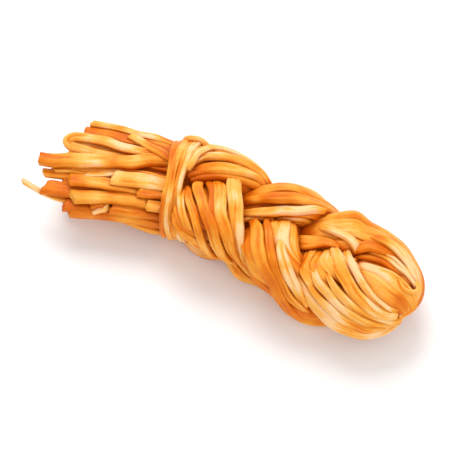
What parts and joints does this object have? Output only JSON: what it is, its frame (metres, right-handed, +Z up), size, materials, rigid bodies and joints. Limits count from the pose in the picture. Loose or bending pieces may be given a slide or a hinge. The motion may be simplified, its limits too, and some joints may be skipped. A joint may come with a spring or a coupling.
{
  "type": "braided string cheese",
  "caption": "Short thick plait of smoked string cheese, with a folded loop at one end and loose cut strands past a tied neck at the other.",
  "frame": {"origin": "middle of the bounding box, on the plane that the plait rests on", "axes": "+X along the plait from the cut strands towards the folded loop, +Y across it, +Z up"},
  "size_m": [0.1836, 0.063, 0.037],
  "materials": {
    "cheese_strands": "satin, slightly oily, with fine fibres along each strand; golden yellow on top and deep orange in the grooves",
    "cheese_band": "satin, slightly oily, pale golden, with fine fibres along each strand"
  },
  "bodies": {
    "root": {"folded_hank": "cheese_strands", "third_hank": "cheese_strands", "neck_band": "cheese_band"}
  },
  "joints": []
}
